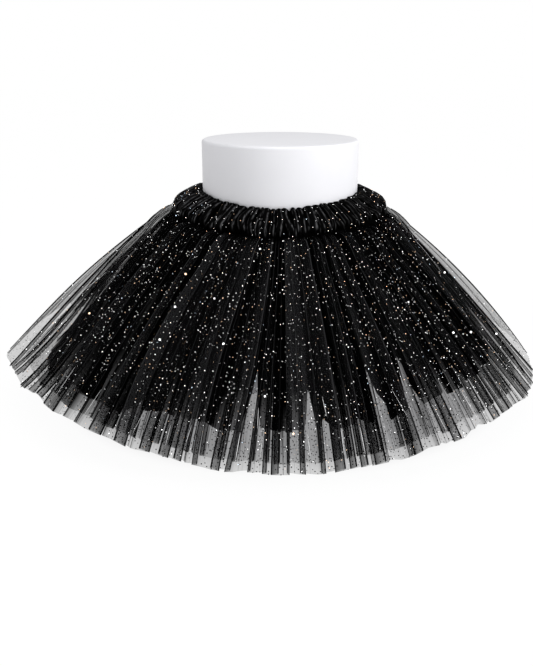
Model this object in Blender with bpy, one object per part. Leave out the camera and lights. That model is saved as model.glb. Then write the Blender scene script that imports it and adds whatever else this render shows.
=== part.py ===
# Ballet tutu of three net layers on a gathered waistband, standing on a plain round display form.
# Metres, +Z up. The origin is the centre of the form's base; the tutu's front faces -Y.
import math

import bmesh
import bpy

# Display form
FORM_RADIUS = 0.095
FORM_HEIGHT = 0.298
FORM_EDGE = 0.0035          # radius of the rounded rims
FORM_SIDES = 72

# Cut sizes of the cloth, measured down the slant from the waist to the hem
BAND_WIDTH = 0.041
OUTER_LENGTH = 0.262
MIDDLE_LENGTH = 0.249
LINING_LENGTH = 0.216
SEAM_TUCK = 0.006           # how far the skirts run up behind the band
WAIST_RADIUS = 0.0985       # outer face of the band at its top edge

# Walls and seam gaps
BAND_WALL = 0.003
NET_WALL = 0.0017
GAP = 0.0004

# Fullness: how many gathers or pleats go round each piece, and how deep they are at the hem
BAND_GATHERS = 56
OUTER_PLEATS = 72
MIDDLE_PLEATS = 44
LINING_PLEATS = 28
GATHER_DEPTH = 0.0032
SEAM_PINCH = 0.0016
OUTER_DEPTH = 0.0050
MIDDLE_DEPTH = 0.0045
LINING_DEPTH = 0.0050
PLEAT_DEPTH_AT_SEAM = 0.0004

BAND_ROLL = 0.17            # how round the band's section is

# How the cloth hangs round the form. Columns: azimuth in degrees from +X towards +Y, height of the
# band's top edge in mm, slope of the band and of the skirt in degrees, how much the skirt's net springs
# out before it falls in percent of its length, and how far each inner layer hangs under the one over it
# at the hem in mm.
HANG = (
    (0, 235.5, 32.0, 44.4, 10.5, 14.5),
    (30, 236.5, 32.8, 43.6, 9.5, 14.5),
    (60, 237.5, 33.0, 43.5, 9.0, 14.5),
    (90, 237.5, 33.0, 43.2, 9.0, 14.5),
    (120, 237.5, 32.2, 42.7, 8.0, 15.0),
    (150, 237.5, 30.0, 40.2, 8.0, 17.0),
    (180, 235.5, 28.5, 40.2, 8.5, 17.5),
    (210, 233.5, 32.0, 36.5, 5.5, 15.5),
    (240, 229.5, 34.5, 41.8, 8.0, 14.0),
    (270, 227.5, 37.0, 46.2, 9.0, 13.5),
    (300, 231.0, 34.0, 43.8, 9.0, 13.5),
    (330, 233.5, 34.0, 44.7, 9.0, 14.0),
)

# One knife pleat: where its three lines lie along its width, and how high each stands.
PLEAT = ((0.00, -1.00), (0.42, 0.35), (0.72, 1.00))
# One gather of the band, from one stitched valley to the next.
GATHER = ((0.00, 0.00), (0.30, 0.86), (0.62, 1.00))


def hang(azimuth, column):
    """Smooth value of one HANG column all round."""
    step = 360 / len(HANG)
    place = (math.degrees(azimuth) % 360) / step
    i = int(place)
    t = place - i
    a, b, c, d = (HANG[(i + k) % len(HANG)][column] for k in (-1, 0, 1, 2))
    return b + 0.5 * t * (c - a + t * (2 * a - 5 * b + 4 * c - d + t * (3 * (b - c) + d - a)))


def cloth_line(azimuth, run):
    """Radius and height of the tutu's outer face, run metres down from its top edge."""
    band_slope = math.radians(hang(azimuth, 2))
    u = min(run / BAND_WIDTH, 1)
    swell = BAND_ROLL * u * (1 - u)
    radius = WAIST_RADIUS + BAND_WIDTH * (u + swell) * math.cos(band_slope)
    height = hang(azimuth, 1) / 1000 - BAND_WIDTH * (u - swell) * math.sin(band_slope)
    if run > BAND_WIDTH:
        slope = math.radians(hang(azimuth, 3))
        v = (run - BAND_WIDTH) / OUTER_LENGTH
        swell = hang(azimuth, 4) / 100 * v * (1 - v)
        radius += OUTER_LENGTH * (v + swell) * math.cos(slope)
        height -= OUTER_LENGTH * (v - swell) * math.sin(slope)
    return radius, height


def cloth_point(azimuth, run, lift):
    """Point on the cloth line moved out along its normal by lift."""
    radius, height = cloth_line(azimuth, run)
    above = cloth_line(azimuth, max(run - 0.004, 0))
    below = cloth_line(azimuth, run + 0.004)
    across, down = below[0] - above[0], above[1] - below[1]
    length = math.hypot(across, down)
    radius += lift * down / length
    height += lift * across / length
    return radius * math.cos(azimuth), radius * math.sin(azimuth), height


def ease(t):
    t = max(0, min(1, t))
    return t * t * (3 - 2 * t)


def depth_at(run, depth):
    """Pleat half-height: shallow at the seam, full at the hem."""
    v = max(0, run - BAND_WIDTH) / OUTER_LENGTH
    return PLEAT_DEPTH_AT_SEAM + (depth - PLEAT_DEPTH_AT_SEAM) * v ** 0.9


def outer_lift(azimuth, run):
    """The top layer starts under the band and springs out level with it."""
    tucked = BAND_WALL + GAP + PLEAT_DEPTH_AT_SEAM
    return -tucked * (1 - ease((run - BAND_WIDTH - 0.001) / 0.013))


def layer_drop(azimuth, run, upper_depth, lower_depth):
    """How far one layer lies under the next: always clear of its pleats, and further out towards the hem."""
    v = max(0, run - BAND_WIDTH) / OUTER_LENGTH
    clear = NET_WALL + GAP + depth_at(run, upper_depth) + depth_at(run, lower_depth)
    at_hem = NET_WALL + GAP + upper_depth + lower_depth
    return clear + (hang(azimuth, 5) / 1000 - at_hem) * v


def middle_lift(azimuth, run):
    return outer_lift(azimuth, run) - layer_drop(azimuth, run, OUTER_DEPTH, MIDDLE_DEPTH)


def lining_lift(azimuth, run):
    return middle_lift(azimuth, run) - layer_drop(azimuth, run, MIDDLE_DEPTH, LINING_DEPTH)


def fold_columns(count, fold, shift, drift):
    """Azimuth and height of every line round a piece, the folds a little uneven in width and depth."""
    columns = []
    for i in range(count):
        start = i + 0.17 * math.sin(1.9 * i + shift) + 0.08 * math.sin(4.7 * i + drift)
        j = i + 1
        end = j + 0.17 * math.sin(1.9 * (j % count) + shift) + 0.08 * math.sin(4.7 * (j % count) + drift)
        size = 0.84 + 0.16 * math.sin(2.7 * i + drift)
        for along, high in fold:
            azimuth = 2 * math.pi * (start + along * (end - start)) / count
            columns.append((azimuth, high * size if high > 0 else high))
    return columns


def add_object(name, mesh, colour, roughness):
    material = bpy.data.materials.new(name)
    material.use_nodes = True
    shader = material.node_tree.nodes["Principled BSDF"]
    shader.inputs["Base Color"].default_value = (*colour, 1)
    shader.inputs["Roughness"].default_value = roughness
    mesh.materials.append(material)
    piece = bpy.data.objects.new(name, mesh)
    bpy.context.scene.collection.objects.link(piece)
    return piece


def ring_tube(name, columns, section):
    """Closed solid: section gives each column's points in order, and the columns are joined round."""
    shape = bmesh.new()
    rings = [[shape.verts.new(p) for p in section(*column)] for column in columns]
    for here, there in zip(rings, rings[1:] + rings[:1]):
        for k in range(len(here)):
            m = (k + 1) % len(here)
            shape.faces.new((here[k], here[m], there[m], there[k]))
    bmesh.ops.recalc_face_normals(shape, faces=shape.faces)
    mesh = bpy.data.meshes.new(name)
    shape.to_mesh(mesh)
    shape.free()
    return mesh


def skirt(name, count, length, depth, lift, shift, drift, colour):
    """One gathered net layer, from behind the band to its hem."""
    top = BAND_WIDTH - SEAM_TUCK
    hem = BAND_WIDTH + length
    runs = (top, BAND_WIDTH, BAND_WIDTH + 0.016, BAND_WIDTH + 0.125, hem)

    def section(azimuth, high):
        outside = [(r, lift(azimuth, r) + high * depth_at(r, depth)) for r in runs]
        inside = [(r, h - NET_WALL) for r, h in reversed(outside)]
        return [cloth_point(azimuth, r, h) for r, h in outside + inside]

    mesh = ring_tube(name, fold_columns(count, PLEAT, shift, drift), section)
    return add_object(name, mesh, colour, 0.8)


def waistband():
    """Gathered casing: each gather stands up at the top edge and closes to the stitched seam below."""
    # run down the slant and share of the gather's depth there
    outside = ((0.000, 0.55), (0.007, 1.00), (0.018, 0.90), (0.030, 1.00), (0.037, 0.60), (BAND_WIDTH, 0.30))
    inside = (BAND_WIDTH, BAND_WIDTH - SEAM_TUCK, 0.022, 0.008)

    def section(azimuth, high):
        points = [cloth_point(azimuth, r, high * share * GATHER_DEPTH) for r, share in outside[:-1]]
        # the seam pinches the lower edge in
        points.append(cloth_point(azimuth, BAND_WIDTH, high * outside[-1][1] * GATHER_DEPTH - SEAM_PINCH))
        points += [cloth_point(azimuth, r, -BAND_WALL) for r in inside]
        # the top edge lies against the form, lifted by each gather
        collar = FORM_RADIUS + GAP
        height = cloth_line(azimuth, 0)[1]
        top = height + 0.0026 * high
        points[0] = (points[0][0], points[0][1], top)
        points.append((collar * math.cos(azimuth), collar * math.sin(azimuth), height - 0.0035))
        points.append((collar * math.cos(azimuth), collar * math.sin(azimuth), top - 0.0006))
        return points

    mesh = ring_tube("waistband", fold_columns(BAND_GATHERS, GATHER, 0.4, 1.3), section)
    return add_object("waistband", mesh, (0.012, 0.012, 0.014), 0.55)


def display_form():
    """Turned cylinder with small rounded rims."""
    rim = [(FORM_EDGE * math.sin(a), FORM_EDGE * math.cos(a))
           for a in (math.radians(d) for d in (0, 30, 60, 90))]
    profile = [(FORM_RADIUS - FORM_EDGE + x, FORM_HEIGHT - FORM_EDGE + z) for x, z in rim]
    profile += [(FORM_RADIUS - FORM_EDGE + x, FORM_EDGE - z) for x, z in reversed(rim)]
    shape = bmesh.new()
    rings = []
    for radius, height in profile:
        ring = []
        for i in range(FORM_SIDES):
            a = 2 * math.pi * i / FORM_SIDES
            ring.append(shape.verts.new((radius * math.cos(a), radius * math.sin(a), height)))
        rings.append(ring)
    for upper, lower in zip(rings, rings[1:]):
        for i in range(FORM_SIDES):
            j = (i + 1) % FORM_SIDES
            shape.faces.new((upper[i], lower[i], lower[j], upper[j]))
    shape.faces.new(rings[0])
    shape.faces.new(list(reversed(rings[-1])))
    bmesh.ops.recalc_face_normals(shape, faces=shape.faces)
    mesh = bpy.data.meshes.new("display_form")
    shape.to_mesh(mesh)
    shape.free()
    for face in mesh.polygons:
        face.use_smooth = len(face.vertices) == 4
    return add_object("display_form", mesh, (0.86, 0.86, 0.88), 0.5)


for old in list(bpy.data.objects):
    bpy.data.objects.remove(old)

display_form()
waistband()
skirt("outer_net_skirt", OUTER_PLEATS, OUTER_LENGTH, OUTER_DEPTH, outer_lift, 0.0, 0.6, (0.05, 0.05, 0.055))
skirt("middle_net_skirt", MIDDLE_PLEATS, MIDDLE_LENGTH, MIDDLE_DEPTH, middle_lift, 1.1, 2.0, (0.03, 0.03, 0.035))
skirt("lining_skirt", LINING_PLEATS, LINING_LENGTH, LINING_DEPTH, lining_lift, 2.3, 0.2, (0.01, 0.01, 0.012))
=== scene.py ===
import math
import random

import bpy
import numpy as np
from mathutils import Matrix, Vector


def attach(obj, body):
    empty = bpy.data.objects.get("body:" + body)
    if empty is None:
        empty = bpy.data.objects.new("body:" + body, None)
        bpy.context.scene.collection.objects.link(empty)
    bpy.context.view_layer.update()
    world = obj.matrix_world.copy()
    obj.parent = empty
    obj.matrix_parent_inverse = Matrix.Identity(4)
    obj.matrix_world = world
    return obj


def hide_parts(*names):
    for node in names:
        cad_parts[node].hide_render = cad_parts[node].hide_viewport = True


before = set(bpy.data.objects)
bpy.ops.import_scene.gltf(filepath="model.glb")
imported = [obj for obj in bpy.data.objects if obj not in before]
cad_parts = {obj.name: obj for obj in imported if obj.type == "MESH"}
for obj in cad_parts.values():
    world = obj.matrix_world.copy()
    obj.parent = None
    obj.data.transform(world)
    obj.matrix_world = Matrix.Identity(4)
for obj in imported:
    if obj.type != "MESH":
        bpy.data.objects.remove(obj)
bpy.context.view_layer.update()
print("frame loaded:", ", ".join(sorted(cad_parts)))


class Value:  # wraps an output socket, so that shader maths reads as sums
    def __init__(self, tree, socket):
        self.tree = tree
        self.socket = socket

    def math(self, operation, *inputs):
        node = self.tree.nodes.new("ShaderNodeMath")
        node.operation = operation
        for place, item in enumerate(inputs):
            if isinstance(item, Value):
                self.tree.links.new(item.socket, node.inputs[place])
            else:
                node.inputs[place].default_value = item
        return Value(self.tree, node.outputs[0])

    def __add__(self, other):
        return self.math("ADD", self, other)

    def __radd__(self, other):
        return self.math("ADD", other, self)

    def __sub__(self, other):
        return self.math("SUBTRACT", self, other)

    def __rsub__(self, other):
        return self.math("SUBTRACT", other, self)

    def __mul__(self, other):
        return self.math("MULTIPLY", self, other)

    def __rmul__(self, other):
        return self.math("MULTIPLY", other, self)

    def clamp(self):
        return self.math("MAXIMUM", self.math("MINIMUM", self, 1.0), 0.0)


class Finish:  # a material; its keywords are the shader's own sockets
    def __init__(self, name, **constants):
        self.material = bpy.data.materials.new(name)
        self.material.use_nodes = True
        self.tree = self.material.node_tree
        self.shader = self.tree.nodes["Principled BSDF"]
        for key, value in constants.items():
            self.shader.inputs[key.replace("_", " ")].default_value = value

    def node(self, kind, settings=None, out=0, **values):
        made = self.tree.nodes.new(kind)
        for key, setting in (settings or {}).items():
            setattr(made, key, setting)
        for key, value in values.items():
            numbered = key[1:].isdigit()  # i0 is the first socket, other keywords are socket names
            socket = made.inputs[int(key[1:]) if numbered else key.replace("_", " ")]
            if isinstance(value, Value):
                self.tree.links.new(value.socket, socket)
            else:
                socket.default_value = value
        return Value(self.tree, made.outputs[out])

    def attribute(self, name, out="Fac"):
        return self.node("ShaderNodeAttribute", {"attribute_name": name}, out=out)

    def mix(self, low, high, amount):
        if not isinstance(low, Value):
            low = (*low, 1)
        return self.node("ShaderNodeMix", {"data_type": "RGBA"}, out=2, i0=amount, i6=low, i7=(*high, 1))

    def step(self, value, low, high):
        return self.node("ShaderNodeMapRange", {"interpolation_type": "SMOOTHSTEP"}, out="Result",
                         Value=value, From_Min=low, From_Max=high)

    def streaks(self, around, down, seed):  # noise that runs down the cloth
        place = self.node("ShaderNodeCombineXYZ", i0=self.attribute("around") * around,
                          i1=self.attribute("down") * down, i2=seed)
        return self.node("ShaderNodeTexNoise", Vector=place, Scale=1.0, Detail=3.0)

    def feed(self, socket, value):
        self.tree.links.new(value.socket, self.shader.inputs[socket])


view = {
    "place": (-0.0166, -0.9928, 0.3904),
    "pitchDown": 18.98,  # degrees below level
    "lens": 43.24,
    "sensorWidth": 36,
    "clipStart": 0.05,
}
camera = bpy.data.objects.new("viewCamera", bpy.data.cameras.new("viewCamera"))
camera.data.sensor_width = view["sensorWidth"]
camera.data.lens = view["lens"]
camera.data.clip_start = view["clipStart"]
camera.location = view["place"]
camera.rotation_euler = (math.radians(90 - view["pitchDown"]), 0, 0)
bpy.context.scene.collection.objects.link(camera)
bpy.context.scene.camera = camera
bpy.context.scene.view_settings.view_transform = "Standard"

# How the cloth hangs. Columns: azimuth, height of the band's top edge in mm, slopes of the band and of the
# skirt in degrees, how far the skirt springs out in percent, drop of each inner layer at the hem in mm.
hangTable = (
    (0, 235.5, 32.0, 44.4, 10.5, 14.5),
    (30, 236.5, 32.8, 43.6, 9.5, 14.5),
    (60, 237.5, 33.0, 43.5, 9.0, 14.5),
    (90, 237.5, 33.0, 43.2, 9.0, 14.5),
    (120, 237.5, 32.2, 42.7, 8.0, 15.0),
    (150, 237.5, 30.0, 40.2, 8.0, 17.0),
    (180, 235.5, 28.5, 40.2, 8.5, 17.5),
    (210, 233.5, 32.0, 36.5, 5.5, 15.5),
    (240, 229.5, 34.5, 41.8, 8.0, 14.0),
    (270, 227.5, 37.0, 46.2, 9.0, 13.5),
    (300, 231.0, 34.0, 43.8, 9.0, 13.5),
    (330, 233.5, 34.0, 44.7, 9.0, 14.0),
)

cloth = {
    "waistRadius": 0.0985,
    "bandWidth": 0.041,
    "bandRoll": 0.17,  # how far the band bulges
    "skirtLength": 0.262,  # the longest layer, band seam to hem
    "tuck": 0.006,  # sewn up behind the band
}

layering = {
    "puff": 0.0026,  # how far the net springs out under the seam
    "puffLength": 0.040,
    "drawnIn": 0.0038,  # how far the tucked top row is pulled in
    "clear": 0.0029,  # between two layers at the seam
    "spread": 0.0090,  # what is added to that at the hem
    "sinkWidth": 22,  # degrees round from each side where a layer sinks in
    "fullSides": (176, 2),  # azimuths where the outer net stands fuller and the middle one lies deeper
    "fullWidth": 10,
    "fuller": 0.0028,
    "deeper": 0.0034,
}


def turned(degrees, middle):  # how far round from middle, from -180 to 180
    return (degrees - middle + 180) % 360 - 180


def bump(degrees, middle, half):  # 1 at middle, fading to both sides
    return np.exp(-((turned(degrees, middle) / half) ** 2))


def hangAt(azimuth, column):  # a smooth curve through the table's rows, closed all round
    values = np.array([row[column] for row in hangTable], float)
    count = len(hangTable)
    place = np.degrees(azimuth) % 360 / (360 / count)
    low = np.floor(place).astype(int)
    t = place - low
    a, b, c, d = (values[(low + k) % count] for k in (-1, 0, 1, 2))
    return b + 0.5 * t * (c - a + t * (2 * a - 5 * b + 4 * c - d + t * (3 * (b - c) + d - a)))


def share(run):  # how far down the skirt a point is, 1 at the longest hem
    return np.maximum(0, run - cloth["bandWidth"]) / cloth["skirtLength"]


def clothLine(azimuth, run):  # radius and height this far down the cloth from the band's top edge
    width, length = cloth["bandWidth"], cloth["skirtLength"]
    slope = np.radians(hangAt(azimuth, 2))
    u = np.minimum(run / width, 1)
    swell = cloth["bandRoll"] * u * (1 - u)
    radius = cloth["waistRadius"] + width * (u + swell) * np.cos(slope)
    height = hangAt(azimuth, 1) / 1000 - width * (u - swell) * np.sin(slope)
    slope = np.radians(hangAt(azimuth, 3))
    v = share(run)
    swell = hangAt(azimuth, 4) / 100 * v * (1 - v)
    return radius + length * (v + swell) * np.cos(slope), height - length * (v - swell) * np.sin(slope)


def clothPoints(azimuth, run, lift):  # points on the cloth, lifted at right angles to it
    step = 0.004  # the slope is read this far above and below
    radius, height = clothLine(azimuth, run)
    above = clothLine(azimuth, np.maximum(run - step, 0))
    below = clothLine(azimuth, run + step)
    across, down = below[0] - above[0], above[1] - below[1]
    length = np.hypot(across, down)
    radius = radius + lift * down / length
    height = height + lift * across / length
    return np.stack([radius * np.cos(azimuth), radius * np.sin(azimuth), height], -1)


def roughRadius(v):  # of the skirt, near enough to turn a width into an angle
    return 0.13 + 0.2 * v


def ease(t):
    t = np.clip(t, 0, 1)
    return t * t * (3 - 2 * t)


def layerLift(azimuth, run, under, sink=0.0):  # under counts the layers that lie over this one
    degrees, v = np.degrees(azimuth), share(run)
    below = run - cloth["bandWidth"]
    puff = layering["puff"] * np.sin(math.pi * np.clip(below / layering["puffLength"], 0, 1)) ** 0.8
    tucked = puff - layering["drawnIn"] * (1 - ease((below + 0.002) / 0.0065))
    clear = layering["clear"] + layering["spread"] * v ** 0.9
    drop = (hangAt(azimuth, 5) / 1000 - layering["clear"] - layering["spread"]) * v
    if sink:
        sides = bump(degrees, 0, layering["sinkWidth"]) + bump(degrees, 180, layering["sinkWidth"])
        deep = sink * (1 + 0.08 * np.cos(azimuth))  # a little deeper on the right
        hollow = deep * sides * np.sin(math.pi * np.clip(v / 0.9, 0, 1)) ** 0.6
    else:
        sides = sum(bump(degrees, side, layering["fullWidth"]) for side in layering["fullSides"])
        deep = layering["deeper"] if under else -layering["fuller"]
        hollow = deep * sides * np.sin(math.pi * np.clip(v, 0, 1)) ** 0.7
    return tucked - under * (clear + drop) - hollow


def gridMesh(name, points, values):  # rows of points, closed all round
    rows, columns = points.shape[:2]
    index = np.arange(rows * columns).reshape(rows, columns)
    wide = np.concatenate([index, index[:, :1]], 1)
    faces = np.stack([wide[:-1, :-1], wide[1:, :-1], wide[1:, 1:], wide[:-1, 1:]], -1).reshape(-1, 4)
    mesh = bpy.data.meshes.new(name)
    mesh.from_pydata(points.reshape(-1, 3).tolist(), [], faces.tolist())
    for key, array in values.items():
        attribute = mesh.attributes.new(key, "FLOAT", "POINT")
        attribute.data.foreach_set("value", array.reshape(-1).astype(np.float32))
    mesh.shade_smooth()
    mesh.update()
    return mesh


def addPiece(name, mesh, finish, node=None):
    mesh.materials.append(finish.material)
    piece = bpy.data.objects.new(name, mesh)
    bpy.context.scene.collection.objects.link(piece)
    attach(piece, "root")
    if node:
        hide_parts(node)
    return piece


# Folds placed one by one. Columns: azimuth at the hem and at the seam, bow between them in degrees, which
# way the fold turns (1 lies towards lower azimuths), width folded under at the hem and at the seam in
# degrees, how dark the painted shade beside the fold is and how far that reaches in degrees, then for the
# main folds how bright the painted light on the panel beside it is and how far that reaches (positive
# towards higher azimuths).
mainFolds = (
    (14, 13, 0, -1, 0.4, 0.8, 0, 0.5, 0, 0),
    (28, 27, 0.4, -1, 1.6, 2.4, 1, 2, 0.6, 6),
    (38, 37, 0.8, 1, 1.5, 2.2, 1, 1.8, 0.6, -5),
    (43, 43.5, -1.2, -1, 2, 2.6, 1, 2.4, 0.9, 7),
    (57, 56, 0.5, 1, 1.4, 2.4, 1, 2, 0.6, -6),
    (62, 63, -0.6, -1, 1.8, 2.2, 1, 2.6, 0.7, 7.5),
    (76, 77, 0.9, 1, 1.2, 2, 1, 1.6, 0.5, -5),
    (81, 80, -0.8, -1, 2.1, 2.8, 1, 2.4, 1, 8),
    (95, 96, 0.6, 1, 1.6, 2.2, 1, 2, 0.6, -5),
    (101, 100.5, -0.5, -1, 1.6, 2.4, 1, 2.2, 0.6, 6),
    (114, 114, 1.1, 1, 1.9, 2.6, 1, 2.4, 0.9, -7),
    (119, 120, -0.4, -1, 1.3, 2, 1, 1.8, 0.5, 5),
    (131, 130, 0.7, 1, 1.7, 2.4, 1, 2.2, 0.8, -6),
    (137, 137.5, -0.7, -1, 1.8, 2.4, 1, 2.4, 0.6, 6.5),
    (149, 149, 0.4, 1, 1.2, 2, 1, 2, 0.5, -5),
    (165, 163, 0, 1, 0.4, 0.8, 0, 0.5, 0, 0),
    (194, 171, 0, -1, 0.3, 0.4, 0, 0.3, 0, 0),
    (205.2, 173.5, 2.6, -1, 0.6, 2.4, 0.4, 0.6, 0, 0),
    (207.4, 178, 5.5, -1, 0.5, 2.6, 0.4, 0.6, 0, 0),
    (209.8, 182, 6.5, -1, 0.4, 2.4, 0.4, 0.6, 0, 0),
    (214.5, 185.5, 6.5, -1, 0.8, 1.6, 1, 0.4, 0.4, 5),
    (217.4, 195, 5, -1, 0.6, 1.6, 0.6, 0.6, 0, 0),
    (219.8, 204, 3.5, -1, 0.8, 2.2, 0.8, 0.8, 0, 0),
    (222.8, 213, 0, -1, 2.3, 2.6, 1, 1.8, 0.5, 6),
    (226, 219.5, 0.3, 1, 1.9, 2.2, 0.7, 1, 0, 0),
    (228.6, 223.6, 0.3, 1, 1.8, 2.2, 0.6, 1.2, 0, 0),
    (231.4, 227.6, 0.2, 1, 1.9, 2, 0.8, 1.2, 0, 0),
    (234.2, 233, -0.3, -1, 2, 2.4, 1, 2.2, 0.6, 3),
    (237, 236.8, -1, 1, 0.9, 1.4, 0.5, 0.9, 0, 0),
    (239.6, 240.4, -2.4, -1, 1.8, 3.2, 1, 2.6, 1, 6.8),
    (242.6, 243.8, -1.6, 1, 0.5, 2, 0.2, 0.9, 0, 0),
    (244.5, 246.2, -1, -1, 1.5, 2, 0.3, 0.8, 0, 0),
    (248, 248.9, -0.6, -1, 1.5, 2.2, 0.6, 1.4, 0, 0),
    (250.8, 252.4, -0.9, -1, 1, 1.8, 0.3, 0.8, 0, 0),
    (252.8, 255.4, -1.2, 1, 0.5, 1.6, 0.2, 0.7, 0, 0),
    (255, 259.6, -1.4, 1, 1.5, 2.6, 1, 2.2, 0.8, -7),
    (257.3, 262.2, 0, -1, 1.4, 1, 0.5, 1, 0, 0),
    (260.8, 266, 0.8, 1, 1.5, 1.4, 1, 0.7, 0.6, -2.6),
    (264.2, 267.6, 0.2, 1, 0.8, 1, 0.6, 1, 0, 0),
    (267, 269, 0, 1, 1, 1.2, 0.6, 0.8, 0, 0),
    (269.1, 270.2, 0, 1, 1.6, 1.6, 1, 1.6, 0, 0),
    (270.5, 271.2, 0, -1, 0.6, 1.6, 1, 2.2, 0.9, 8.5),
    (272.8, 273.6, 0.1, -1, 1.3, 1.4, 0.2, 0.7, 0, 0),
    (276.5, 276.8, 0.2, -1, 1.2, 1.8, 0.2, 0.9, 0, 0),
    (280.8, 281.4, 0.2, 1, 1.8, 2.2, 1, 1.8, 0.6, -4.5),
    (282.8, 283.6, 0.2, 1, 1, 1, 0.3, 0.7, 0, 0),
    (284.8, 286, 0.3, 1, 1, 1.4, 0.3, 0.9, 0, 0),
    (286.2, 287.4, 0.4, 1, 0.3, 1, 1, 0.8, 0.6, -3),
    (288, 289.2, 0.5, 1, 1.7, 1.6, 1, 1.6, 0, 0),
    (288.4, 289.7, 0.5, -1, 0.6, 2, 1, 1.8, 0.9, 4.6),
    (292.2, 292.4, 0.6, -1, 2, 2, 1, 1.6, 0, 0),
    (295.1, 294.8, 0.6, 1, 1.2, 2, 1, 1.6, 0.5, -2.4),
    (298.7, 298.9, 0.3, -1, 0.9, 2.2, 1, 2.4, 0.7, 5),
    (303.6, 303.2, 0.3, 1, 1, 2.2, 0.4, 1.2, 0, 0),
    (307.4, 307.6, 0.2, -1, 0.7, 2, 0.3, 1, 0, 0),
    (311.5, 311.6, 0.3, -1, 1.5, 2.6, 1, 2.2, 0.6, 6),
    (316, 316.4, 0.2, 1, 0.8, 2.2, 0.4, 1.4, 0, 0),
    (320.4, 321, 0, 1, 1.2, 2.4, 1, 1.6, 0.5, -3),
    (325.2, 325.4, 0, -1, 1.7, 2.8, 1, 2.2, 0.5, 5),
    (331.6, 340, -4, 1, 1.6, 2, 1, 1.2, 0.4, -4),
    (334.8, 342.4, -2.6, 1, 1.2, 2.2, 0.8, 1.6, 0, 0),
    (338.6, 345.2, -1.8, 1, 0.5, 2, 0.6, 1.4, 0, 0),
    (342.2, 348, -2.8, 1, 0.4, 1.8, 0.5, 1.2, 0, 0),
    (346, 351.6, -4.5, 1, 0.4, 1.2, 0.3, 0.8, 0, 0),
)

# The folds between the main ones. A pair of numbers is a range, and a longer row is what is drawn from.
smallFolds = {
    "unevenness": 0.3,  # of their spacing
    "lean": (-0.6, 0.6),  # degrees from hem to seam
    "under": (0.05, 0.08, 0.16, 0.26),  # width folded under at the hem, as a share of the space
    "underSeam": (0.4, 0.7),  # the same at the seam
    # dark and reach: how dark the painted shade beside a fold is, and how far it reaches
    "dark": (0.1, 0.3, 0.5, 0.8),
    "reach": (0.2, 0.4),
    "high": (0.5, 0.95),
    "bow": (-0.4, 0.4),
    "mainHigh": (0.8, 1.0),  # how high the main folds stand
}

# How far small folds swing round on the way up to the seam. Rows: azimuths, degrees.
foldSwing = (
    (170, 180, 190, 200, 211, 225, 240, 250),
    (0, -8, -14, -20, -22, -13, -2, 0),
)

# How deep the folds are: the nets lie nearly flat at both sides. Rows: azimuths, share of the depth.
foldDepth = (
    (0, 18, 36, 138, 156, 200, 226, 326, 344, 360),
    (0.22, 0.22, 1, 1, 0.22, 0.22, 1, 1, 0.3, 0.22),
)

# Where more or less net lies over itself. Columns: azimuth, half width in degrees, what it adds to the
# cover, and how far down it reaches.
densePlaces = (
    (-24.0, 5.0, 0.30, 0.80),
    (5.0, 13.0, 0.30, 0.10),
    (0.0, 9.0, -0.11, 2.0),
    (-178.0, 8.0, -0.12, 0.60),
    (-152.5, 3.5, 0.12, 0.80),
    (-129.0, 11.0, 0.17, 0.88),
)


def softSides(degrees):
    return np.interp(degrees % 360, *foldDepth)


def denseSides(degrees, down):
    return sum(most * bump(degrees, middle, half) * (1 - ease((down - until) / 0.12))
               for middle, half, most, until in densePlaces)


def placedFolds(spec, rng):
    folds = []
    for hem, seam, bow, turn, under, underSeam, dark, reach, bright, glow in mainFolds:
        if dark == 1.0 or any(first <= hem <= last for first, last in spec["placed"]):
            folds.append({
                "hem": hem % 360 + spec["shift"],
                "seam": seam % 360 + spec["shift"],
                "bow": bow,
                "turn": turn,
                "under": under * spec["wider"],
                "underSeam": underSeam,
                "dark": dark,
                "reach": reach,
                "high": rng.uniform(*smallFolds["mainHigh"]),
            })
    return sorted(folds, key=lambda fold: fold["hem"])


def smallFold(at, space, spacing, rng):
    swing = np.interp(at % 360, *foldSwing)
    return {
        "hem": at,
        "seam": at + swing + rng.uniform(*smallFolds["lean"]),
        "turn": rng.choice((-1, 1)),
        "under": rng.choice(smallFolds["under"]) * space,
        "underSeam": rng.uniform(*smallFolds["underSeam"]) * spacing,
        "dark": rng.choice(smallFolds["dark"]),
        "reach": rng.uniform(*smallFolds["reach"]) * spacing,
        "high": rng.uniform(*smallFolds["high"]),
        "bow": rng.uniform(*smallFolds["bow"]),
    }


def foldList(spec):
    rng = random.Random(spec["seed"])
    folds = placedFolds(spec, rng)
    lows = [fold["hem"] for fold in folds]
    for low, high in zip(lows, lows[1:] + [lows[0] + 360]):
        spaces = round((high - low) / spec["spacing"])
        if spaces < 2:
            continue
        widths = [math.exp(rng.gauss(0, smallFolds["unevenness"])) for _ in range(spaces)]
        at = low
        for width in widths[:-1]:
            at += (high - low) * width / sum(widths)
            if not any(first < at % 360 < last for first, last in spec["calm"]):
                folds.append(smallFold(at, (high - low) / spaces, spec["spacing"], rng))
    for fold in folds:
        fold["high"] *= softSides(fold["hem"])
    return sorted(folds, key=lambda fold: fold["hem"])


def foldLine(hem, seam, bow, v):  # azimuth of a fold's edge on its way down
    return hem + (seam - hem) * (1 - v) ** 1.3 + bow * np.sin(math.pi * (1 - v))


def panelLight(degrees, v, shift):  # painted light on the panels beside the main folds, and painted shade in the hollow past their edge
    light, hollow = np.zeros_like(degrees), np.zeros_like(degrees)
    for hem, seam, bow, turn, under, underSeam, dark, reach, bright, glow in mainFolds:
        if glow:
            away = turned(degrees - foldLine(hem, seam, bow, v)[:, None], shift) * math.copysign(1, glow)
            light += bright * np.where(away > -0.05, 1 - ease(away / abs(glow)), 0)
            hollow = np.maximum(hollow, np.where(away > -0.05, 0, np.exp(-((away / reach) ** 2))))
    return light, hollow


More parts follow.
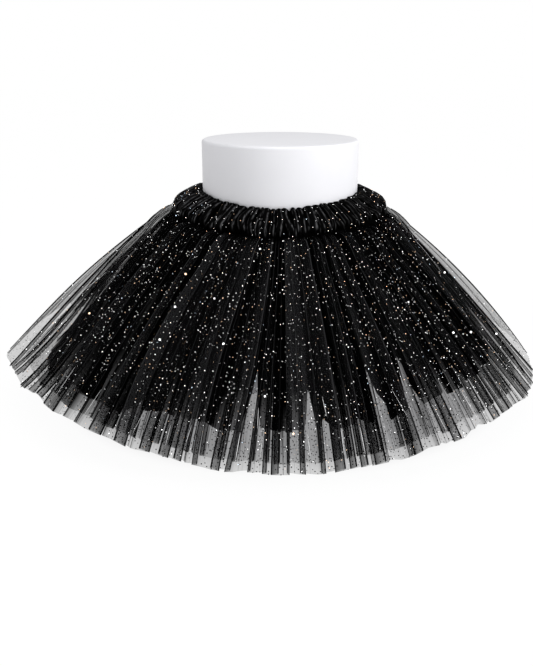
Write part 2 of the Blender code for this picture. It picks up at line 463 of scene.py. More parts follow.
folding = {
    "pressed": 0.0009,  # half width of a pressed edge
    "soft": 0.55,  # folds narrower than this at the hem are pressed less sharply
    "softCrease": 0.45,
    "sharpCrease": 0.95,
    "panelStep": 0.7,  # degrees between the lines on a panel, at most
    "panelBow": (-0.2, 0.3),  # how far a panel bows out, as a share of the folds' depth
    "panelTone": (0.65, 1.1),
    "gathered": 0.55,  # how dark the painted shade in the gathers at the seam is
}
frontLevel, backLevel = 0.9, -0.93  # where a panel meets a fold, as shares of the fold's height


def foldPath(edge, back, line, turn):  # across one fold: azimuth, level, how pressed it is, and tone (none where it is folded under, as painted shade)
    path = [
        (edge - line * turn, frontLevel, 0.5, 1.0),
        (edge, 1.0, 1.0, 1.0),
        (edge - line * turn, 0.75, 0.6, 0.0),
        (edge - line * turn * 1.6, 0.6, 0.0, 0.0),
        (edge - (back - line * 1.6) * turn, -0.7, 0.0, 0.0),
        (edge - (back - line) * turn, -0.8, 0.4, 0.0),
        (edge - back * turn, -1.0, 0.9, 0.0),
        (edge - (back - line) * turn, backLevel, 0.3, 0.0),
    ]
    return path if turn > 0 else path[::-1]


def netColumns(spec, v):  # all round: azimuth, height, crease, shade and tone of each line down the net; shade and tone carry painted shade beside and under the folds
    folds = foldList(spec)
    count = len(folds)
    lines = []
    for fold in folds:
        back = fold["under"] + (fold["underSeam"] - fold["under"]) * (1 - v)
        lines.append((np.radians(foldLine(fold["hem"], fold["seam"], fold["bow"], v)), np.radians(back)))
    columns = []

    def column(*values):
        columns.append([value + np.zeros_like(v) for value in values])

    rng = random.Random(spec["seed"] + 1)
    thin = folding["pressed"] / roughRadius(v)
    rise = spec["depth"] * (0.30 * ease(v / 0.03) + 0.70 * v ** 0.8)
    for k, fold in enumerate(folds):
        edge, back = lines[k]
        high = rise * fold["high"]
        sharp = "softCrease" if fold["under"] < folding["soft"] else "sharpCrease"
        crease = folding[sharp] * (fold["dark"] > 0)
        line = np.minimum(thin, back * 0.3)
        for azimuth, level, pressed, toneAndFoldShade in foldPath(edge, back, line, fold["turn"]):
            column(azimuth, level * high, pressed * crease, fold["dark"] * (0.1 if toneAndFoldShade else 1.0), toneAndFoldShade)
        following = folds[(k + 1) % count]
        nextEdge = lines[(k + 1) % count][0] + (2 * math.pi if k == count - 1 else 0)
        start = high * (backLevel if fold["turn"] > 0 else frontLevel)
        finish = rise * following["high"] * (frontLevel if following["turn"] > 0 else backLevel)
        bow = rng.uniform(*folding["panelBow"]) * spec["depth"] * v * softSides(fold["hem"])
        # a tone that differs at random from panel to panel
        toneAndFoldShade = rng.uniform(*folding["panelTone"])
        gap = np.degrees(nextEdge - edge)
        for t in np.linspace(0.06, 0.90, max(5, math.ceil(gap[-1] / folding["panelStep"]))):
            # painted shade past a fold's edge, fading across the panel
            shade = 0
            if fold["turn"] > 0:
                shade = shade + fold["dark"] * np.exp(-((t * gap / fold["reach"]) ** 2))
            if following["turn"] < 0:
                shade = shade + following["dark"] * np.exp(-(((1 - t) * gap / following["reach"]) ** 2))
            level = start + (finish - start) * ease(t) + bow * math.sin(math.pi * t)
            column(edge + (nextEdge - edge) * t, level, 0.0, shade, toneAndFoldShade)
    return np.array(columns).transpose(1, 2, 0)


def netLayer(spec, under):  # points of a layer, and what its finish reads from them
    length = spec["length"] / cloth["skirtLength"]
    v = np.concatenate([[0, 0.004], np.linspace(0, 1, spec["rows"]) ** 1.15 * 0.99 + 0.01]) * length
    azimuth, height, crease, shade, toneAndFoldShade = netColumns(spec, v)
    degrees = np.degrees(azimuth)
    light, hollow = panelLight(degrees, v, spec["shift"])
    # painted shade in the gathers at the seam
    gathered = folding["gathered"] * np.exp(-((v / 0.014) ** 2))[:, None]
    # more cover where folds lie over each other, and where painted shade falls beside them and in the
    # gathers
    foldsAndShade = np.clip(shade * 0.8 + gathered, 0, 1)
    shade = np.clip(foldsAndShade + hollow * 0.8, 0, 1)
    # painted light and shade: panels beside main folds and pressed edges painted lighter, hollows, gathers
    # and fold shade painted darker
    lit = np.clip((spec["ambient"] + light + 0.25 * crease) * toneAndFoldShade * (1 - 0.9 * shade), 0, 1)
    down = v[:, None] * spec["cut"](degrees[-1])[None, :]
    waves = np.sin(azimuth * 41 + spec["seed"]) * 0.0005 + np.sin(azimuth * 17 + 1.3) * 0.0008
    ragged = waves + 0.0009 * foldsAndShade
    run = cloth["bandWidth"] + cloth["skirtLength"] * down + ragged * (v[:, None] / length) ** 8
    run[0] = cloth["bandWidth"] - cloth["tuck"]
    points = clothPoints(azimuth, run, height + layerLift(azimuth, run, under, spec["sink"]))
    return points, {
        "crease": crease,
        "shade": foldsAndShade,
        "lit": lit,
        "sheer": (1 - softSides(degrees)) / (1 - min(foldDepth[1])),
        "dense": denseSides(degrees, down) * spec["dense"],
        "down": down,
        "around": azimuth,
    }


# How long the nets are along the hem. Columns: azimuth, share of the layer's length.
hemLengths = (
    (187, 1.012), (193, 0.988), (197, 0.992), (203, 1), (214, 1), (220, 0.978), (224, 0.996), (231, 0.985),
    (238, 0.989), (243, 1), (250, 0.991), (258, 1), (286, 1), (291, 1.005), (297, 0.983), (302, 0.992),
    (305.5, 1), (310, 0.969), (314, 0.985), (320, 0.973), (325, 0.985), (329, 1),
)

# The hem's corners at both sides. Columns: azimuth, half width in degrees, how much longer the nets are.
hemCorners = (
    (187, 8, 0.030),
    (208, 7, -0.026),
    (2, 9, 0.034),
)


def liftedHem(degrees):
    corners = sum(longer * bump(degrees, middle, half) for middle, half, longer in hemCorners)
    return (1 + corners) * np.interp(degrees % 360, *zip(*hemLengths), left=1, right=1)


# The underskirt's hem splits into points. Columns: azimuth of the split's top, azimuths of its two sides
# at the hem, and how far down the underskirt the top is.
hemSplits = (
    (215, 212.6, 218.8, 0.95),
    (237.4, 236.4, 238.6, 0.93),
    (246.6, 246, 247.4, 0.94),
    (263.5, 260.9, 264.5, 0.70),
    (276.2, 274.9, 277.5, 0.75),
    (279.8, 278.4, 280.8, 0.87),
    (287.4, 286.4, 288.1, 0.92),
    (291.2, 290.4, 294.2, 0.72),
    (300.2, 299, 303.4, 0.71),
    (311, 309.6, 311.8, 0.86),
    (318.8, 317.4, 320.8, 0.80),
    (331, 329, 332.5, 0.84),
    (343, 341.5, 345, 0.88),
    (12, 10.6, 13.4, 0.82),
    (27, 25.8, 29.6, 0.86),
    (44, 42.6, 45.8, 0.78),
    (66, 64.8, 67.4, 0.85),
    (83, 81.2, 84.4, 0.80),
    (104, 102.8, 106.6, 0.84),
    (126, 124.4, 127.2, 0.79),
    (149, 147.6, 151.6, 0.83),
    (173, 171.4, 175, 0.86),
    (192, 190.4, 194, 0.82),
)

# How long the underskirt is along its hem. Columns: azimuth, share of its length.
underskirtLengths = (
    (195, 1.0), (208, 1.07), (232, 1.05), (242, 1.0), (296, 1.0), (312, 0.975), (330, 0.975), (345, 1.0),
)


def splitHem(degrees):
    degrees = degrees % 360
    edges = sorted(row[0] % 360 for row in mainFolds if row[9])
    panel = np.searchsorted(edges, degrees)  # each panel is cut a little differently
    uneven = 0.99 + 0.009 * np.sin(panel * 2.4) + 0.004 * np.sin(np.radians(degrees) * 31)
    cut = np.interp(degrees, *zip(*underskirtLengths)) * uneven
    for top, first, last, depth in hemSplits:
        side = np.where(degrees < top, (degrees - first) / (top - first), (last - degrees) / (last - top))
        cut = cut - (cut - depth) * np.clip(side, 0, 1)
    return cut


outerSpec = {
    "length": 0.262,
    "depth": 0.0044,  # how high the folds stand at the hem
    "spacing": 2.9,  # degrees between small folds
    "placed": ((0, 360),),  # where faint main folds are laid too
    "calm": ((156, 214), (336, 361), (-1, 18)),  # where no small folds are laid
    "shift": 0.0,  # degrees that the main folds are moved round
    "wider": 0.9,  # how wide the main folds are folded under
    "sink": 0.0,  # how far the layer sinks in at both sides
    "cut": liftedHem,
    "rows": 30,
    "seed": 11,
    "cover": 0.33,  # how much a flat stretch hides
    "thinner": -0.12,  # how much less it hides at both sides
    "dense": 1.0,  # how much the dense places add
    "fade": 0.0,  # how much less it hides at the hem
    # ambient and light: how lit a panel is with no painted light on it, and the net's colour under full
    # painted light
    "ambient": 0.22,
    "light": (0.021, 0.021, 0.022),
    "streaks": 1.0,  # which part of the noise the streaks are read from
}
middleSpec = {
    "length": 0.249,
    "depth": 0.0040,
    "spacing": 5.4,
    "placed": ((219, 333),),
    "calm": ((156, 218), (334, 361), (-1, 17)),
    "shift": 0.2,
    "wider": 0.75,
    "sink": 0.0,
    "cut": liftedHem,
    "rows": 26,
    "seed": 23,
    "cover": 0.27,
    "thinner": -0.15,
    "dense": 0.9,
    "fade": 0.0,
    # painted light level and colour, as for the outer net
    "ambient": 0.2,
    "light": (0.018, 0.018, 0.019),
    "streaks": 4.0,
}
underskirtSpec = {
    "length": 0.216,
    "depth": 0.0044,
    "spacing": 4.2,
    "placed": (),
    "calm": (),
    "shift": 0.5,
    "wider": 1.5,
    "sink": 0.0114,
    "cut": splitHem,
    "rows": 24,
    "seed": 37,
    "cover": 0.97,
    "thinner": 0.0,
    "dense": 0.0,
    "fade": 0.24,
    # painted light level and colour, as for the outer net
    "ambient": 0.16,
    "light": (0.019, 0.019, 0.020),
    "streaks": 7.0,
}
netLook = {
    "black": (0.0003, 0.0003, 0.0003),
    "grain": 0.06,  # how much the mottle changes the cover
    "streaks": 0.16,  # how much the streaks down the net change it
    "calmer": 0.7,  # how much weaker the streaks are at both sides
    "crease": 1.3,  # what a pressed edge adds
    "hair": 0.24,  # what the finest streaks add where folds lie over each other and painted shade falls
    "thick": 0.12,  # what the folds and the painted shade add themselves
    "thinning": 0.35,  # how much of that is gone at the hem
}


def netFinish(name, spec):
    finish = Finish(name, Roughness=0.7, Specular_IOR_Level=0.0)
    crease, shade, lit, sheer = (finish.attribute(key) for key in ("crease", "shade", "lit", "sheer"))
    down = finish.attribute("down")
    coords = finish.node("ShaderNodeTexCoord", out="Object")
    grain = finish.node("ShaderNodeTexNoise", Vector=coords, Scale=420.0, Detail=1.0)
    fine = finish.streaks(80.0, 2.0, spec["streaks"])
    hair = finish.step(finish.streaks(230.0, 3.0, spec["streaks"] + 9), 0.55, 0.64)
    streaked = (fine - 0.5 + hair) * netLook["streaks"] * (1 - sheer * netLook["calmer"])
    flat = (spec["cover"] + (grain - 0.5) * netLook["grain"] + streaked) * (1 - sheer * spec["thinner"])
    # cover added from the shade attribute, partly folds lying over each other and partly painted shade
    # darkening the black net
    thick = shade * (1 - finish.step(down, 0.74, 0.94) * netLook["thinning"])
    gathered = thick * (hair * netLook["hair"] + thick * netLook["thick"])
    alpha = flat + finish.attribute("dense") + crease * netLook["crease"] + gathered
    worn = finish.step(down, 0.62, 0.83) * spec["fade"]  # fewer folds lie over each other at the hem
    finish.feed("Alpha", (alpha - worn).clamp())
    # base colour is painted light and shade read from lit, with painted sheen streaks down the net
    streakedLight = (lit * (fine * 1.5 + 0.25)).clamp()
    finish.feed("Base Color", finish.mix(netLook["black"], spec["light"], streakedLight))
    return finish


def netPiece(name, spec, under, node):
    points, values = netLayer(spec, under)
    piece = addPiece(name, gridMesh(name, points, values), netFinish(name + "Black", spec), node)
    return piece, points, values


outerNet, outerPoints, outerValues = netPiece("outerNet", outerSpec, 0, "outer_net_skirt")
middleNet, middlePoints, middleValues = netPiece("middleNet", middleSpec, 1,
                                                 "middle_net_skirt")
underskirt, *_ = netPiece("underskirt", underskirtSpec, 2, "lining_skirt")
print("net layers made")

band = {
    "gathers": 74,
    "unevenness": 0.28,  # of the gathers' widths
    "forks": 0.3,  # share of the gathers with a short one beside them
    "depth": 0.0036,  # how high the gathers stand
    "lip": 0.0042,  # how far they stand up over the top edge
    "pinch": 0.0030,  # how far they are drawn in at the seam
    "fuller": 0.0034,  # how much fuller the band is at both sides
    "fullSides": (172, 4),
    "fullWidth": 26,
    "collar": 0.0954,  # radius of its inside at the top
    "wall": 0.003,
    "columns": 1512,
    "seed": 8,
    # the band's own black, the painted light on the gathers' tops, and the painted highlight along them
    "black": (0.0001, 0.0001, 0.0001),
    "paintedRidgeLight": (0.0030, 0.0030, 0.0031),
    "shine": (0.10, 0.10, 0.104),
}

# A gather's numbers; pairs are ranges. Its half width, place and sway are shares of its own step round the
# band, and it starts and ends at shares of the band's width.
fullGather = {
    "half": 0.54,
    "sway": (-0.5, 0.5),
    "turns": (0.7, 1.8),
    "high": (0.65, 1.0),
    "end": (0.82, 1.04),
}
shortGather = {
    "half": 0.40,
    "place": (-0.1, 0.15),
    "sway": (-0.4, 0.4),
    "turns": (0.6, 1.5),
    "high": (0.75, 1.05),
    "fromTop": 0.45,  # share of them that start at the top edge
    "start": (0.2, 0.5),  # where the others start
    "end": (0.45, 0.75),  # where those from the top end
}


def bandGathers():
    rng = random.Random(band["seed"])
    widths = [math.exp(rng.gauss(0, band["unevenness"])) for _ in range(band["gathers"])]
    gathers, at = [], 0
    for size in widths:
        step = 2 * math.pi * size / sum(widths)
        gathers.append({
            "at": at + step / 2,
            "half": step * fullGather["half"],
            "sway": rng.uniform(*fullGather["sway"]) * step,
            "turns": rng.uniform(*fullGather["turns"]),
            "phase": rng.uniform(0, 6.28),
            "high": rng.uniform(*fullGather["high"]),
            "start": -1.0,
            "end": rng.uniform(*fullGather["end"]),
        })
        if rng.random() < band["forks"]:
            fromTop = rng.random() < shortGather["fromTop"]
            gathers.append({
                "at": at + step * rng.uniform(*shortGather["place"]),
                "half": step * shortGather["half"],
                "sway": rng.uniform(*shortGather["sway"]) * step,
                "turns": rng.uniform(*shortGather["turns"]),
                "phase": rng.uniform(0, 6.28),
                "high": rng.uniform(*shortGather["high"]),
                "start": -1.0 if fromTop else rng.uniform(*shortGather["start"]),
                "end": rng.uniform(*shortGather["end"]) if fromTop else 0.98,
            })
        at += step
    return gathers


def gathersAt(azimuth, t, gathers):  # lift of the highest gather, and the place across it
    lift, across = np.zeros_like(azimuth), np.ones_like(azimuth)
    for gather in gathers:
        centre = gather["at"] + gather["sway"] * math.sin(gather["turns"] * t * 3 + gather["phase"])
        away = ((azimuth - centre + math.pi) % (2 * math.pi) - math.pi) / gather["half"]
        starting = float(ease((t - gather["start"]) / 0.25))
        ending = float(ease((gather["end"] - t) / 0.14))
        raised = gather["high"] * starting * ending * np.clip(1 - away ** 2, 0, 1) ** 0.62
        across = np.where(raised > lift, away, across)
        lift = np.maximum(lift, raised)
    return lift, across


def bandPiece():
    gathers = bandGathers()
    width = cloth["bandWidth"]
    azimuth = np.linspace(0, 2 * math.pi, band["columns"], endpoint=False)
    topRows, bottomRows = [0.0, 0.015, 0.035, 0.06, 0.09], [0.85, 0.88, 0.91, 0.94, 0.97, 1.0]
    rows = np.concatenate([topRows, np.linspace(0.13, 0.82, 24), bottomRows])
    degrees = np.degrees(azimuth)
    full = band["fuller"] * sum(bump(degrees, side, band["fullWidth"]) for side in band["fullSides"])
    outside, rises, sheens = [], [], []
    for t in rows:
        lift, across = gathersAt(azimuth, t, gathers)
        envelope = np.interp(t, (0, 0.08, 0.3, 0.75, 1.0), (0.6, 0.95, 1.0, 1.0, 0.9))
        pinch = band["pinch"] * float(ease((t - 0.72) / 0.28))
        lifted = band["depth"] * envelope * lift + full * envelope - pinch
        outside.append(clothPoints(azimuth, np.full_like(azimuth, t * width), lifted))
        # how high each gather stands, which paints its top lighter; it fades out towards the seam, leaving
        # painted shade there
        rises.append(lift * float(1 - ease((t - 0.84) / 0.14)))
        # painted sheen: a highlight line on each gather's side towards the light, weaker on the other side
        edge = np.exp(-(((across - 0.46) / 0.15) ** 2)) + 0.4 * np.exp(-(((across + 0.58) / 0.10) ** 2))
        sheens.append(edge * lift * float(1 - ease((t - 0.84) / 0.12)))
    outside = np.array(outside)
    height = clothLine(azimuth, np.zeros_like(azimuth))[1]
    lip = height + band["lip"] * rises[0]
    outside[0, :, 2] = lip
    ring = [band["collar"] * np.cos(azimuth), band["collar"] * np.sin(azimuth)]
    inside = [clothPoints(azimuth, np.full_like(azimuth, t * width), -band["wall"] - 0.0002)
              for t in (1.0, 0.86, 0.54, 0.2)]
    inside += [np.stack([*ring, level], -1) for level in (height - 0.0038, lip - 0.0006)]
    points = np.concatenate([np.array(inside), outside, inside[:1]], 0)
    down = np.concatenate([np.zeros(len(inside)), rows, [1.0]])
    flat = np.zeros((len(inside), len(azimuth)))
    values = {
        "around": np.repeat(azimuth[None, :], len(down), 0),
        "down": np.repeat(down[:, None], len(azimuth), 1),
        "rise": np.concatenate([flat, rises, flat[:1]], 0),
        "sheen": np.concatenate([flat, sheens, flat[:1]], 0),
    }
    return points, values, outside


bandFinish = Finish("bandBlackSatin", Roughness=0.33, Specular_IOR_Level=0.002)
wrinkles = bandFinish.streaks(60.0, 5.0, 2.0)
creases = bandFinish.streaks(150.0, 4.0, 6.0)
wrinkled = bandFinish.node("ShaderNodeBump", Strength=0.5, Distance=0.0012, Height=creases)
bandFinish.feed("Normal", wrinkled)
rise, sheen = bandFinish.attribute("rise"), bandFinish.attribute("sheen")
# painted light on the gathers' tops, leaving the valleys black as painted shade
raised = (rise * rise * (creases * 2.2 - 0.5)).clamp()
bandBody = bandFinish.mix(band["black"], band["paintedRidgeLight"], raised)
# painted highlight along the gathers, broken up by the wrinkle noise
bandShine = (sheen * bandFinish.step(wrinkles, 0.40, 0.60) * 0.95).clamp()
bandFinish.feed("Base Color", bandFinish.mix(bandBody, band["shine"], bandShine))
bandPoints, bandValues, bandOutside = bandPiece()
bandMesh = gridMesh("gatheredWaistband", bandPoints, bandValues)
addPiece("gatheredWaistband", bandMesh, bandFinish, "waistband")
print("waistband made")

# Doubled net along the outermost folds. Columns: three points on each line, each its azimuth and how far
# down it is, and the thickness in mm.
edgeLines = (
    ((171.5, 0.03), (175.6, 0.55), (187.0, 1.036), 1.7),
    ((176.0, 0.10), (196.2, 0.55), (205.0, 0.985), 2.2),
    ((181.0, 0.16), (202.6, 0.55), (207.2, 0.96), 2.0),
    ((203.0, 0.42), (208.8, 0.65), (209.4, 0.97), 1.7),
    ((190.0, 0.10), (209.8, 0.55), (214.6, 1.0), 1.8),
    ((206.0, 0.40), (215.4, 0.70), (218.8, 0.98), 1.4),
    ((210.9, 0.86), (211.2, 0.90), (211.6, 0.95), 1.5),
    ((4.7, 0.03), (2.3, 0.55), (-2.0, 1.025), 1.7),
    ((-10.5, 0.08), (-15.8, 0.50), (-14.0, 1.005), 2.2),
    ((-14.0, 0.12), (-18.0, 0.50), (-21.6, 0.95), 1.9),
    ((-19.0, 0.55), (-20.4, 0.80), (-20.8, 1.0), 1.8),
    ((-17.0, 0.15), (-26.6, 0.50), (-28.2, 1.01), 1.5),
)
edgePoints = 40  # along each line


def edgeMesh():  # four-sided strands that thin out at both ends
    vertices, faces = [], []
    t = np.linspace(0, 1, edgePoints)
    for first, middle, last, thick in edgeLines:
        down = first[1] + (last[1] - first[1]) * t
        part = (middle[1] - first[1]) / (last[1] - first[1])
        curve = ((middle[0] - first[0]) - (last[0] - first[0]) * part) / (part * part - part)
        azimuth = np.radians(first[0] + (last[0] - first[0] - curve) * t + curve * t * t)
        run = cloth["bandWidth"] + cloth["skirtLength"] * down
        lift = layerLift(azimuth, run, 0)
        half = thick / 2000 * np.sin(math.pi * (0.08 + 0.84 * t)) ** 0.5
        sides = [len(vertices) + side * edgePoints for side in range(4)]
        for across, rise in ((1, 0), (0, 1), (-1, 0), (0, -1)):
            turn = azimuth + across * half / clothLine(azimuth, run)[0]
            vertices += clothPoints(turn, run, lift + rise * half).tolist()
        for side, following in zip(sides, sides[1:] + sides[:1]):
            faces += [(side + k, side + k + 1, following + k + 1, following + k)
                      for k in range(edgePoints - 1)]
    mesh = bpy.data.meshes.new("edgeFolds")
    mesh.from_pydata(vertices, [], faces)
    return mesh


edgeFinish = Finish("edgeFold", Base_Color=(0.004, 0.004, 0.004, 1), Roughness=0.7, Specular_IOR_Level=0.0)
addPiece("edgeFolds", edgeMesh(), edgeFinish)

glitter = {
    "bright": 9400,  # small beads that glow as painted glints
    "dark": 17000,  # flat flakes painted black, glitter left in painted shade
    "onBand": 400,
    "brightGap": 0.0030,  # how far apart they lie at least
    "darkGap": 0.0022,
    "outerShare": 0.66,  # how many of them are on the outer net, the rest are on the middle one
    "bead": (0.00025, 0.00022),  # smallest radius, and what chance adds to it
    "flake": (0.00050, 0.0003),
    "large": 0.0012,
    "largeShare": 0.006,  # of the beads
    "level": (0.10, 1.2),  # least painted glint brightness, and what chance adds to it
    # how strongly the painted glints glow
    "glow": 3.8,
    "warm": (0.80, 0.55, 0.37),
    "warmShare": 0.18,
    "cool": (0.70, 0.84, 1.0),
    "coolShare": 0.03,
    "seed": 5,
}
chance = np.random.default_rng(glitter["seed"])

# There is little glitter on the flat net at both sides. Rows: azimuths, how much.
quietSides = (
    (0, 12, 40, 130, 158, 196, 228, 314, 338, 350, 360),
    (0.05, 0.06, 1, 1, 0.05, 0.06, 1, 0.85, 0.45, 0.08, 0.05),
)


def brightShare(down):
    return (0.25 + 0.75 * ease(down / 0.06)) * (1 - 0.75 * ease((down - 0.74) / 0.2))


def darkShare(down):
    return 0.06 + ease((down - 0.55) / 0.3)


def apart(place, gap):  # which spots are no closer than the gap to one already kept
    cells, keep = {}, []
    for index, spot in enumerate(place.tolist()):
        cell = tuple(math.floor(value / gap) for value in spot)
        near = (other for i in (-1, 0, 1) for j in (-1, 0, 1) for k in (-1, 0, 1)
                for other in cells.get((cell[0] + i, cell[1] + j, cell[2] + k), ()))
        if all(math.dist(spot, other) > gap for other in near):
            cells.setdefault(cell, []).append(spot)
            keep.append(index)
    return keep


def scatter(points, values, amount, gap, byShare):  # spots on the faces that look outwards
    wide = np.concatenate([points, points[:, :1]], 1)
    a, b, c, d = wide[:-1, :-1], wide[1:, :-1], wide[1:, 1:], wide[:-1, 1:]
    normal = np.cross(b - d, c - a)
    middle = (a + c) / 2
    outward = middle / np.linalg.norm(middle[..., :2], axis=-1, keepdims=True)
    outward[..., 2] = 1
    facingOut = (normal * outward).sum(-1)
    weight = np.maximum(0, facingOut * np.sign(facingOut.sum()))
    if values:
        down, degrees = values["down"][:-1], np.degrees(values["around"][:-1]) % 360
        weight = weight * byShare(down) * (values["lit"][:-1] > 0.0005)  # not on what is folded under
        weight = weight * np.interp(degrees, *quietSides) ** (1.0 if byShare is brightShare else 0.35)
    flat = weight.reshape(-1)
    pick = chance.choice(flat.size, amount, p=flat / flat.sum())
    s, t = chance.random((2, amount, 1))
    a, b, c, d = (corner.reshape(-1, 3)[pick] for corner in (a, b, c, d))
    place = (a * (1 - s) + b * s) * (1 - t) + (d * (1 - s) + c * s) * t
    facing = normal.reshape(-1, 3)[pick] * np.sign(facingOut.sum())
    keep = apart(place, gap)
    return place[keep], (facing / np.maximum(np.linalg.norm(facing, axis=-1, keepdims=True), 1e-9))[keep]


def glitterMesh(place, facing, size, shade, bead):  # six-sided flat flakes and eight-sided beads
    amount = len(place)
    tilt = facing + chance.normal(0, 0.25, (amount, 3))
    tilt /= np.linalg.norm(tilt, axis=1, keepdims=True)
    side = np.cross(tilt, [0.31, 0.17, 0.93])
    side /= np.linalg.norm(side, axis=1, keepdims=True)
    up = np.cross(tilt, side)
    centre = place + facing * np.where(bead, size * 0.8, 0.0004)[:, None]
    flats = ~bead
    rings = []
    for k in range(6):
        spoke = side[flats] * math.cos(k * math.pi / 3) + up[flats] * math.sin(k * math.pi / 3)
        rings.append(centre[flats] + spoke * size[flats, None])
    reach = size[bead, None] * 1.1
    tips = [centre[bead] + axis[bead] * reach * sign for axis in (side, up, tilt) for sign in (1, -1)]
    vertices = np.concatenate([np.stack(rings, 1).reshape(-1, 3), np.stack(tips, 1).reshape(-1, 3)])
    facets = np.array([(0, 2, 4), (2, 1, 4), (1, 3, 4), (3, 0, 4),
                       (2, 0, 5), (1, 2, 5), (3, 1, 5), (0, 3, 5)])
    starts = (flats.sum() + np.arange(bead.sum())) * 6
    faces = np.arange(flats.sum() * 6).reshape(-1, 6).tolist()
    faces += (starts[:, None, None] + facets).reshape(-1, 3).tolist()
    mesh = bpy.data.meshes.new("glitter")
    mesh.from_pydata(vertices.tolist(), [], faces)
    colour = mesh.color_attributes.new("flakeTintAndGlint", "FLOAT_COLOR", "POINT")
    spread = np.concatenate([np.concatenate([shade[flats], shade[bead]]), np.ones((amount, 1))], 1)
    colour.data.foreach_set("color", np.repeat(spread, 6, 0).reshape(-1).astype(np.float32))
    return mesh


# the beads glow with painted glints in their tint; the flat flakes stay black as painted shade
flakeFinish = Finish("glitterFlake", Base_Color=(0.001, 0.001, 0.001, 1), Roughness=0.6,
                     Specular_IOR_Level=0.0, Emission_Strength=glitter["glow"])
flakeFinish.feed("Emission Color", flakeFinish.attribute("flakeTintAndGlint", "Color"))


def glitterSpots():  # where each bit lies, which way it faces, and whether it is a bright bead
    spots, kinds = [], []
    for points, values, portion in ((outerPoints, outerValues, glitter["outerShare"]),
                                    (middlePoints, middleValues, 1 - glitter["outerShare"])):
        for kind, byShare in (("bright", brightShare), ("dark", darkShare)):
            amount = round(glitter[kind] * portion)
            spots.append(scatter(points, values, amount, glitter[kind + "Gap"], byShare))
            kinds.append(np.full(len(spots[-1][0]), kind == "bright"))
    spots.append(scatter(bandOutside, None, glitter["onBand"], glitter["brightGap"], None))
    kinds.append(np.full(len(spots[-1][0]), True))
    return *(np.concatenate(parts) for parts in zip(*spots)), np.concatenate(kinds)


def glitterSizes(bright):  # size of each bit, and its colour: real tint times painted glint brightness, none on the flat flakes
    amount = len(bright)
    bead, flake, level = glitter["bead"], glitter["flake"], glitter["level"]
    beadSize = bead[0] + bead[1] * chance.random(amount) ** 2
    flakeSize = flake[0] + flake[1] * chance.random(amount)
    large = bright & (chance.random(amount) < glitter["largeShare"])
    size = np.where(large, glitter["large"], np.where(bright, beadSize, flakeSize))
    # painted glint brightness, full on the large beads
    beadLight = np.where(large, 1.0, level[0] + level[1] * chance.random(amount) ** 1.35)
    hue = chance.random(amount)
    tints = np.ones((amount, 3))
    tints[hue < glitter["warmShare"]] = glitter["warm"]
    tints[hue > 1 - glitter["coolShare"]] = glitter["cool"]
    return size, tints * np.where(bright, beadLight, 0.0)[:, None]


glitterPlace, glitterFacing, bright = glitterSpots()
flakes = glitterMesh(glitterPlace, glitterFacing, *glitterSizes(bright), bright)
glitterPiece = addPiece("glitter", flakes, flakeFinish)
print("glitter made:", len(bright))

# Painted highlights along fold edges, glowing a little. Columns: azimuth and share of the way down where
# each starts and ends, then its width, where 1 is glintWidth.
glints = (
    (281, 0.85, 280.8, 0.95, 0.9),
    (284.6, 0.86, 284.5, 0.96, 1),
    (278.2, 0.72, 278.6, 0.80, 0.8),
    (274.5, 0.86, 274.8, 0.94, 0.7),
    (261.8, 0.86, 261.5, 0.97, 1.1),
    (248.8, 0.88, 249, 0.96, 0.7),
    (264.9, 0.76, 265, 0.84, 0.8),
    (266, 0.87, 265.8, 0.95, 0.6),
    (252.6, 0.86, 252.4, 0.93, 0.6),
    (293, 0.74, 294.2, 0.86, 0.5),
    (300.4, 0.84, 300.8, 0.95, 0.8),
    (243, 0.85, 242.6, 0.95, 0.6),
    (204, 0.40, 203.2, 0.56, 1.6),
    (203.2, 0.52, 206.8, 0.72, 1.5),
    (209.8, 0.62, 211.2, 0.80, 1.5),
    (208.6, 0.72, 209.4, 0.95, 1.5),
    (232.6, 0.83, 232.2, 0.96, 0.7),
    (224, 0.80, 224.6, 0.94, 0.8),
    (308.8, 0.80, 309.2, 0.95, 0.8),
    (318, 0.82, 318.4, 0.96, 0.8),
    (344.8, 0.12, 337.8, 0.36, 0.9),
    (344, 0.40, 344.8, 0.86, 1),
    (346.6, 0.44, 347, 0.80, 0.8),
    (42, 0.80, 42.5, 0.95, 0.8),
    (66, 0.84, 66.4, 0.96, 0.7),
    (92, 0.78, 92.8, 0.94, 0.9),
    (118, 0.82, 118.3, 0.95, 0.7),
    (140, 0.80, 140.6, 0.96, 0.8),
)
glintWidth = 1 / 2200  # in metres


def glintMesh():
    vertices, faces = [], []
    t = np.linspace(0, 1, 12)
    for fromAzimuth, fromDown, toAzimuth, toDown, width in glints:
        azimuth = np.radians(fromAzimuth + (toAzimuth - fromAzimuth) * t)
        down = fromDown + (toDown - fromDown) * t
        half = width * glintWidth / 2 * np.sin(math.pi * (0.04 + 0.92 * t)) ** 0.6 / roughRadius(down)
        run = cloth["bandWidth"] + cloth["skirtLength"] * down
        lift = layerLift(azimuth, run, 0) + 0.0012 + 0.0040 * down  # clear of the folds
        first, second = len(vertices), len(vertices) + len(t)
        for side in (-1, 1):
            vertices += clothPoints(azimuth + side * half, run, lift).tolist()
        faces += [(first + k, first + k + 1, second + k + 1, second + k) for k in range(len(t) - 1)]
    mesh = bpy.data.meshes.new("foldGlints")
    mesh.from_pydata(vertices, [], faces)
    return mesh


# painted highlight: pale and faintly glowing
glintFinish = Finish("foldGlint", Base_Color=(0.75, 0.75, 0.76, 1), Roughness=0.5,
                     Emission_Color=(1, 1, 1, 1), Emission_Strength=0.08)
foldGlints = addPiece("foldGlints", glintMesh(), glintFinish)
print("fold edges made")

form = {"radius": 0.095, "height": 0.298, "rim": 0.0035, "sides": 256}


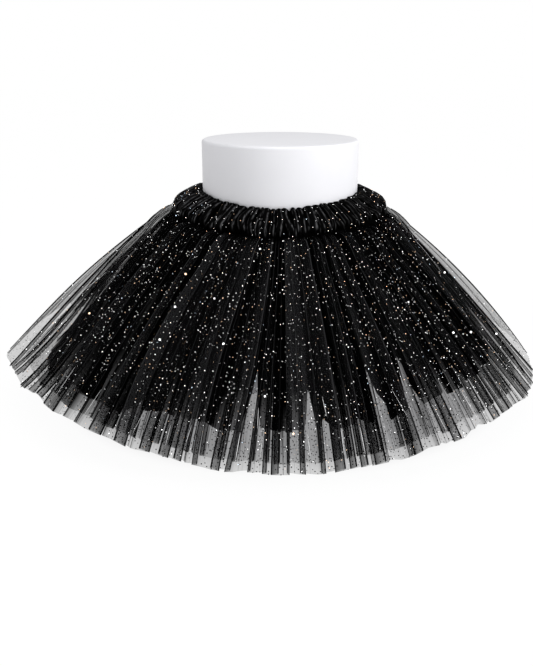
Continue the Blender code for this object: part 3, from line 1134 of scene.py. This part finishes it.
def rimCurve(height, start, end, steps):  # points round the form's softened edge, angles in degrees
    rim, inner = form["rim"], form["radius"] - form["rim"]
    angles = np.radians(np.linspace(start, end, steps))
    return [(inner + rim * math.cos(angle), height + rim * math.sin(angle)) for angle in angles]


def formPoints():
    radius, height, rim = form["radius"], form["height"], form["rim"]
    profile = [((radius - rim) * t, height) for t in (0.0, 0.3, 0.6, 0.85, 0.97)]
    profile += rimCurve(height - rim, 90, 0, 9)
    profile += [(radius, height * t) for t in (0.9, 0.6, 0.3, 0.02)]
    profile += rimCurve(rim, 0, -90, 5)
    profile.append((0.0, 0.0))
    azimuth = np.linspace(0, 2 * math.pi, form["sides"], endpoint=False)
    x, y = np.cos(azimuth), np.sin(azimuth)
    return np.array([np.stack([r * x, r * y, np.full_like(azimuth, z)], -1) for r, z in profile])


formFinish = Finish("formWhite", Roughness=0.45)
formCoords = formFinish.node("ShaderNodeTexCoord", out="Object")
mottle = formFinish.node("ShaderNodeTexNoise", Vector=formCoords, Scale=40.0, Detail=3.0)
formFinish.feed("Base Color", formFinish.mix((0.755, 0.755, 0.785), (0.785, 0.785, 0.815), mottle))
addPiece("displayForm", gridMesh("displayForm", formPoints(), {}), formFinish, "display_form")
print("display form made")


sheets = (
    (outerNet, outerSpec, [glitterPiece, foldGlints]),
    (middleNet, middleSpec, []),
    (underskirt, underskirtSpec, []),
)
for piece, spec, extras in sheets:
    length = round(spec["length"] + cloth["tuck"], 3)

studio = {"seen": 1.0, "light": 0.55}  # how bright the surroundings are to the camera, and as light
world = bpy.data.worlds.new("studio")
bpy.context.scene.world = world
world.use_nodes = True
nodes, links = world.node_tree.nodes, world.node_tree.links
strength = nodes.new("ShaderNodeMapRange")
strength.inputs["To Min"].default_value = studio["light"]
strength.inputs["To Max"].default_value = studio["seen"]
links.new(nodes.new("ShaderNodeLightPath").outputs["Is Camera Ray"], strength.inputs["Value"])
links.new(strength.outputs["Result"], nodes["Background"].inputs["Strength"])
nodes["Background"].inputs["Color"].default_value = (1, 1, 1, 1)

ground = {
    "half": 9,  # metres from the middle to each edge
    "near": (0.62, 0.62, 0.63),  # painted soft shadow beside the form
    "far": (0.985, 0.985, 0.985),
}
floorMesh = bpy.data.meshes.new("floor")
corners = [(x * ground["half"], y * ground["half"], 0) for x, y in ((-1, -1), (1, -1), (1, 1), (-1, 1))]
floorMesh.from_pydata(corners, [], [(0, 1, 2, 3)])
floorFinish = Finish("floorWhite", Base_Color=(0.025, 0.025, 0.025, 1), Roughness=0.9,
                     Specular_IOR_Level=0.0, Emission_Strength=1.0)
floorCoords = floorFinish.node("ShaderNodeTexCoord", out="Object")
away = floorFinish.node("ShaderNodeVectorMath", {"operation": "LENGTH"}, out="Value", i0=floorCoords)
# painted shadow: the floor's glow is dimmer near the middle
shadow = floorFinish.step(away, 0.23, 0.30) * 0.94 + floorFinish.step(away, 0.29, 0.37) * 0.06
floorFinish.feed("Emission Color", floorFinish.mix(ground["near"], ground["far"], shadow))
floorMesh.materials.append(floorFinish.material)
floor = bpy.data.objects.new("floor", floorMesh)
bpy.context.scene.collection.objects.link(floor)


def areaLight(name, place, aim, size, power):
    lamp = bpy.data.lights.new(name, "AREA")
    lamp.energy = power
    lamp.size = size
    holder = bpy.data.objects.new(name, lamp)
    holder.location = place
    holder.rotation_euler = (Vector(aim) - Vector(place)).to_track_quat("-Z", "Y").to_euler()
    bpy.context.scene.collection.objects.link(holder)


areaLight("keyLight", (1.85, -1.07, 1.2), (0, 0, 0.2), 0.8, 30)
areaLight("topLight", (0.05, -0.50, 1.30), (0, 0, 0.3), 0.5, 5)
print("studio made")
